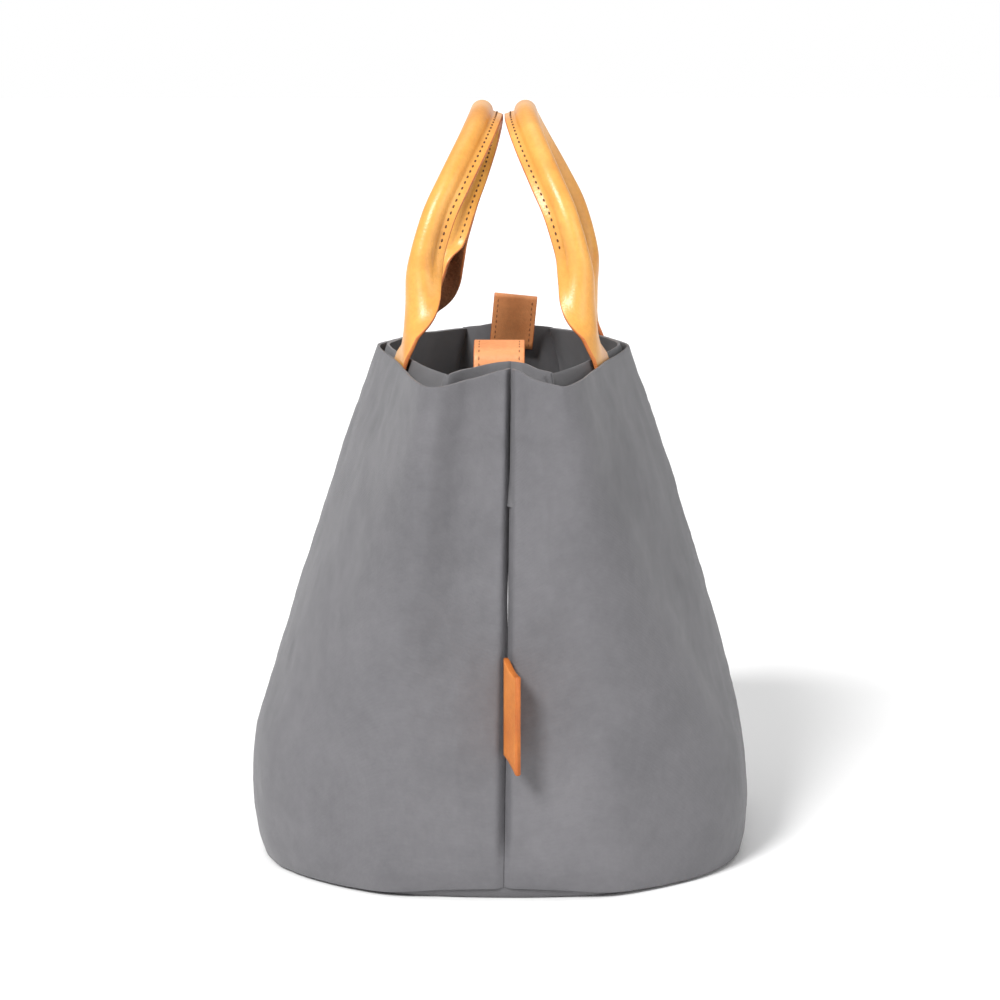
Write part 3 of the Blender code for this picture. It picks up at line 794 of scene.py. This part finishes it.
def strapFoot(side, end, depth):
    middle = handles["strapPlace"] if end < 0 else 2 * sideMiddle - handles["strapPlace"]
    height = heightShare(middle, wallTop(middle) - depth)
    step = 0.1
    span = wallPoint(side, middle + step, height) - wallPoint(side, middle - step, height)
    perMetre = 2 * step / span.length
    points = []
    for across, out in handleSection(0.0, handles["strap"])[0]:
        place = middle + end * across * perMetre
        inset = walls["cloth"] + walls["layerGap"] - min(out, 0.0)
        points.append(wallPoint(side, place, height, inset))
    return points


def rollReach():
    return handles["roll"] / 2 * (1 - math.cos(handles["wrap"] / 2)) + handles["flange"]


def handleStations(side, skew):
    # spine point, curl and frame at each station from the near foot to the far foot
    foot = wallPoint(side, handles["strapPlace"], 1.0, walls["cloth"] + walls["layerGap"])
    legs = handles["legs"]
    tiltTop = math.radians(legs[-1].tilt)
    lip = (handles["leather"] + handles["slit"]) * math.sin(tiltTop)
    apexX = rollReach() * math.cos(tiltTop) + lip + handles["touchGap"] / 2
    last = len(legs) - 1
    steps = [index / handles["stepsPerRow"] for index in range(handles["stepsPerRow"] * last + 1)]
    stations = [(-1, place) for place in steps] + [(1, place) for place in steps[-2::-1]]
    spines = []
    for end, rowPlace in stations:
        up, along, across, curl, tilt, turn = (
            spline([getattr(row, field) for row in legs], rowPlace) for field in LegRow._fields)
        x = side * lerp(apexX, abs(foot.x), across)
        x += skew[0 if end < 0 else 1] * math.sin(math.pi * min(up, 1.0))
        point = Vector((x, end * abs(foot.y) * along, walls["height"] + handles["rise"] * up))
        tilt, turn = math.radians(tilt), math.radians(turn)
        out = Vector((side * math.cos(tilt) * math.cos(turn), end * math.sin(turn),
                      math.sin(tilt) * math.cos(turn)))
        spines.append((point, min(curl, 1.0), out))
    made = []
    for index, (point, curl, out) in enumerate(spines):
        before = spines[index - 1][0] if index else foot
        after = spines[index + 1][0] if index + 1 < len(spines) else Vector((foot.x, -foot.y, foot.z))
        tangent = (after - before).normalized()
        width = tangent.cross(out).normalized() * -side
        out = (out - tangent * out.dot(tangent)).normalized()
        made.append((point, curl, tangent, width, out))
    return made


def addHandle(name, side, skew):
    stations = handleStations(side, skew)
    slots = handleSection(0.5, handles["strap"])[1]
    top = walls["height"] * walls["plan"][int(handles["strapPlace"])].facingRise
    depths = [handles["strapDepth"] * share for share in (1.0, 0.8, 0.6, 0.4, 0.2, 0.0)] + [-top]
    loops = [strapFoot(side, -1, depth) for depth in depths]
    for point, curl, tangent, width, out in stations:
        shape = handleSection(curl, handles["strap"])[0]
        loops.append([point + width * p.x + out * p.y for p in shape])
    loops += [strapFoot(side, 1, depth) for depth in depths[::-1]]
    bm = bmesh.new()
    first = startRing(bm, loops[0])
    ring = first
    for loop in loops[1:]:
        ring = extrudeRing(bm, ring, loop, slots)
    closeRing(bm, ring, 1)
    closeRing(bm, first[::-1], 1)
    bmesh.ops.recalc_face_normals(bm, faces=bm.faces)
    return finishPiece(name, bm, [finishes["grain"], finishes["cut"], finishes["flesh"]],
                       [name])


def addStitch(bm, place, run, out, length, radius):
    # one stitch: a flattened round thread that dips into the leather at both ends
    across = run.cross(out).normalized()
    turn = Matrix((run, across, out)).transposed().to_4x4()
    made = bmesh.ops.create_uvsphere(bm, u_segments=8, v_segments=6, radius=1.0)["verts"]
    scale = Matrix.Diagonal((length / 2, radius, radius * 0.8, 1.0))
    bmesh.ops.transform(bm, matrix=Matrix.Translation(place) @ turn @ scale, verts=made)


def addHandleStitches(name, side, skew):
    stations = handleStations(side, skew)
    bm = bmesh.new()
    travelled = 0.0
    nextStitch = 0.0
    for (pointA, curlA, tangentA, widthA, outA), (pointB, curlB, tangentB, widthB, outB) in zip(
            stations, stations[1:]):
        if min(curlA, curlB) < 0.97:
            continue
        radius, wrap, flange = flapRun(1.0, handles["strap"])
        spotQ = radius * math.cos(wrap / 2) - radius - handles["stitchIn"]
        spotP = handles["leather"] + handles["slit"] / 2
        starts = [pointA + widthA * spotP * hand + outA * spotQ for hand in (-1, 1)]
        ends = [pointB + widthB * spotP * hand + outB * spotQ for hand in (-1, 1)]
        span = (ends[0] + ends[1] - starts[0] - starts[1]).length / 2
        while nextStitch < travelled + span:
            share = (nextStitch - travelled) / span
            for hand, start, end in zip((-1, 1), starts, ends):
                place = start.lerp(end, share)
                addStitch(bm, place, (end - start).normalized(), widthA * hand,
                          handles["stitchLength"], handles["stitchRadius"])
            nextStitch += handles["stitchPitch"]
        travelled += span
    return finishPiece(name, bm, [finishes["darkThread"]])


# End tabs and seam tag

tabs = {
    "width": 0.025, "length": 0.032, "leather": 0.0018, "belowRim": 0.014, "farOffset": 0.002,
    "nearFold": math.radians(62), "nearRadius": 0.006, "farLean": math.radians(5.5),
    "bends": 10, "columns": 12, "edgeRound": 0.0004,
    "stitchIn": 0.0026, "stitchPitch": 0.0031, "stitchLength": 0.0021, "stitchRadius": 0.00038,
}


def tabPath(end, fold):
    # middle line of the doubled strip as (distance from the middle, height) pairs
    seam = 2 * sideMiddle if end > 0 else 0.0
    high, low = [min((facingPoint(side, seam, up, walls["cloth"]) for side in (-1, 1)),
                     key=lambda point: abs(point.y)) for up in (1.0, 0.5)]
    offset = tabs["leather"] + walls["layerGap"] * 1.5
    slope = (Vector((abs(high.y), high.z)) - Vector((abs(low.y), low.z))).normalized()
    inwards = Vector((-abs(slope.y), slope.x if slope.y > 0 else -slope.x))
    start = Vector((abs(high.y), high.z)) - slope * tabs["belowRim"] + inwards * offset
    path = [start + slope * tabs["belowRim"] * share for share in (0, 0.25, 0.5, 0.75, 1.0)]
    turned = slope
    if fold:
        for index in range(tabs["bends"]):
            turn = fold * (index + 0.5) / tabs["bends"]
            turned = slope * math.cos(turn) + inwards * math.sin(turn)
            path.append(path[-1] + turned * tabs["nearRadius"] * fold / tabs["bends"])
        turned = slope * math.cos(fold) + inwards * math.sin(fold)
    rest = tabs["length"] - tabs["belowRim"] - tabs["nearRadius"] * fold - offset
    knee = path[-1]
    path += [knee + turned * rest * share for share in (0.25, 0.5, 0.75, 1.0)]
    return path, Vector((abs(high.y), start.y))


def tabRuns(path):
    # (point, direction, side direction) along the path
    runs = []
    for index, point in enumerate(path):
        run = (path[min(index + 1, len(path) - 1)] - path[max(index - 1, 0)]).normalized()
        runs.append((point, run, Vector((run.y, -run.x))))
    return runs


def tabProfile(path):
    # outline of the doubled strip and the slot of each edge: 0 grain, 1 cut edge, 2 flesh
    half = walls["layerGap"] / 2
    reach = half + tabs["leather"]
    runs = tabRuns(path)
    tip, run, out = runs[-1]
    cap = [tip + out * reach * math.cos(a) + run * reach * math.sin(a)
           for a in (math.radians(angle) for angle in range(15, 180, 15))]
    front = [point + out * reach for point, run, out in runs]
    back = [point - out * reach for point, run, out in runs][::-1]
    frontInner = [point + out * half for point, run, out in runs]
    backInner = [point - out * half for point, run, out in runs][::-1]
    outer = front + cap + back
    return outer + backInner[::-1] + frontInner[::-1], len(outer)


def addTab(name, end, offsetX, fold, lean):
    path, pivotPair = tabPath(end, fold)
    profile, outerCount = tabProfile(path)
    pivot = Vector((offsetX, pivotPair.x, pivotPair.y))
    turn = Matrix.Translation(pivot) @ Matrix.Rotation(lean, 4, "Y") @ Matrix.Translation(-pivot)
    half = tabs["width"] / 2
    soft = tabs["edgeRound"]
    stations = [(-half, soft), (-half + soft * 0.3, soft * 0.3), (-half + soft, 0.0)]
    stations += [(half * (2 * step / tabs["columns"] - 1), 0.0) for step in range(1, tabs["columns"])]
    stations += [(-x, shrink) for x, shrink in stations[2::-1]]
    slots = [0 if index < outerCount - 1 else 2 for index in range(len(profile))]
    slots[outerCount - 1] = 1
    slots[-1] = 1
    loops = []
    for x, shrink in stations:
        loop = []
        for index, point in enumerate(profile):
            before, after = profile[index - 1], profile[(index + 1) % len(profile)]
            run = (after - before).normalized()
            moved = point - Vector((run.y, -run.x)) * shrink
            loop.append(turn @ Vector((offsetX + x, end * moved.x, moved.y)))
        loops.append(loop)
    bm = bmesh.new()
    first = startRing(bm, loops[0])
    ring = first
    for number, loop in enumerate(loops[1:]):
        edgeBand = number < 2 or number >= len(loops) - 3
        ring = extrudeRing(bm, ring, loop, [1] * len(slots) if edgeBand else slots)
    closeRing(bm, ring, 1)
    closeRing(bm, first[::-1], 1)
    bmesh.ops.recalc_face_normals(bm, faces=bm.faces)
    addTabStitches(name + "_stitches", end, offsetX, path, turn)
    return finishPiece(name, bm, [finishes["tab"], finishes["cut"], finishes["flesh"]],
                       [name])


def addTabStitches(name, end, offsetX, path, turn):
    # three sides stitched, the fold at the top left free
    runs = tabRuns(path)
    reach = walls["layerGap"] / 2 + tabs["leather"]
    lengths = [0.0]
    for low, high in zip(path, path[1:]):
        lengths.append(lengths[-1] + (high - low).length)

    def at(distance):
        index = 0
        while index < len(lengths) - 2 and distance > lengths[index + 1]:
            index += 1
        share = (distance - lengths[index]) / (lengths[index + 1] - lengths[index])
        (pointA, runA, outA), (pointB, runB, outB) = runs[index], runs[index + 1]
        return pointA.lerp(pointB, share), runA.lerp(runB, share).normalized(), \
            outA.lerp(outB, share).normalized()

    half = tabs["width"] / 2 - tabs["stitchIn"]
    spots = []
    count = int((lengths[-1] - tabs["stitchIn"]) / tabs["stitchPitch"])
    for step in range(count + 1):
        distance = tabs["stitchIn"] + tabs["stitchPitch"] * step
        spots += [(-half, distance, "up"), (half, distance, "up")]
    across = int(2 * half / tabs["stitchPitch"])
    for step in range(1, across):
        spots.append((half * (2 * step / across - 1), tabs["stitchIn"], "across"))
    bm = bmesh.new()
    for x, distance, direction in spots:
        point, run, out = at(distance)
        for face in (-1, 1):
            spot = point + out * reach * face
            place = turn @ Vector((offsetX + x, end * spot.x, spot.y))
            runWay = Vector((0, end * run.x, run.y)) if direction == "up" else Vector((1, 0, 0))
            outWay = Vector((0, end * out.x, out.y)) * face
            turnOnly = turn.to_3x3()
            addStitch(bm, place, (turnOnly @ runWay).normalized(), (turnOnly @ outWay).normalized(),
                      tabs["stitchLength"], tabs["stitchRadius"])
    return finishPiece(name, bm, [finishes["tabThread"]])


tag = {
    "height": 0.049, "reach": 0.020, "leather": 0.0028, "middle": 0.099,
    "turn": math.radians(18), "droop": 0.006, "steps": 14, "rows": 20,
    "hollow": 0.0022, "hollowFrom": 0.3,   # depth of the dip, and the share of the height where it begins
    "edgeRound": 0.0005,
}


def addTag(name):
    shares = [heightShare(0.0, tag["middle"] + tag["height"] * share)
              for share in (-0.5, -0.25, 0.0, 0.25, 0.5)]
    roots = [min(wallPoint(side, place, share).y for side in (-1, 1) for place in (0.0, 0.15, 0.3))
             for share in shares]
    rootY = min(roots) - walls["layerGap"]
    seamX = seamSway(0.0, shares[2])
    half = tag["leather"] / 2
    soft = tag["edgeRound"]
    across = Vector((math.cos(tag["turn"]), math.sin(tag["turn"]), 0))
    ahead = Vector((math.sin(tag["turn"]), -math.cos(tag["turn"]), 0))

    def outline(step, inset):
        # ring round the tag's section at a share of its reach
        drop = tag["droop"] * step ** 1.5
        middle = Vector((seamX, rootY, tag["middle"] - drop)) + ahead * tag["reach"] * step
        low, high = -tag["height"] / 2 + inset, tag["height"] / 2 - inset
        thick = half - inset
        rises = [lerp(low + soft, high - soft, index / tag["rows"]) for index in range(tag["rows"] + 1)]
        spots = [(thick, rise) for rise in rises]
        spots += [(thick - soft, high), (soft - thick, high)]
        spots += [(-thick, rise) for rise in rises[::-1]]
        spots += [(soft - thick, low), (thick - soft, low)]
        points = [middle + across * away + Vector((0, 0, rise)) for away, rise in spots]
        for point in points:
            rise = (point.z - tag["middle"] + drop) / tag["height"]
            if rise > tag["hollowFrom"]:
                # the top edge dips between its two ends
                share = (rise - tag["hollowFrom"]) / (0.5 - tag["hollowFrom"])
                point.z -= tag["hollow"] * math.sin(math.pi * min(step, 1.0)) * share
            if step == 0:
                point.y = rootY
        return points

    steps = [index / tag["steps"] for index in range(tag["steps"] + 1)]
    loops = [outline(step, 0.0) for step in steps[:-1]]
    loops += [outline(1.0 - soft / tag["reach"], 0.0), outline(1.0, soft * 0.5)]
    count = len(loops[0])
    rows = tag["rows"] + 1
    slots = [0] * count
    for index in list(range(rows - 1, rows + 2)) + list(range(2 * rows + 1, count)):
        slots[index] = 1
    bm = bmesh.new()
    first = startRing(bm, loops[0])
    ring = first
    for number, loop in enumerate(loops[1:]):
        last = number >= len(loops) - 2
        ring = extrudeRing(bm, ring, loop, [1] * count if last else slots)
    closeRing(bm, ring, 1)
    closeRing(bm, first[::-1], 1)
    bmesh.ops.recalc_face_normals(bm, faces=bm.faces)
    return finishPiece(name, bm, [finishes["tag"], finishes["tagEdge"]], [name])


addWall("left_body_panel", -1, 11.3)
addWall("right_body_panel", 1, 27.9)
print("walls made")
addFacing("left_facing", -1, 41.7)
addFacing("right_facing", 1, 53.2)
addBase("base_panel")
print("facing and base made")
addHandle("left_handle", -1, handles["leftSkew"])
addHandle("right_handle", 1, handles["rightSkew"])
addHandleStitches("left_handle_stitches", -1, handles["leftSkew"])
addHandleStitches("right_handle_stitches", 1, handles["rightSkew"])
print("handles made")
addTab("near_tab", -1, 0.0, tabs["nearFold"], 0.0)
addTab("far_tab", 1, tabs["farOffset"], 0.0, tabs["farLean"])
addTag("seam_tag")
print("tabs and tag made")
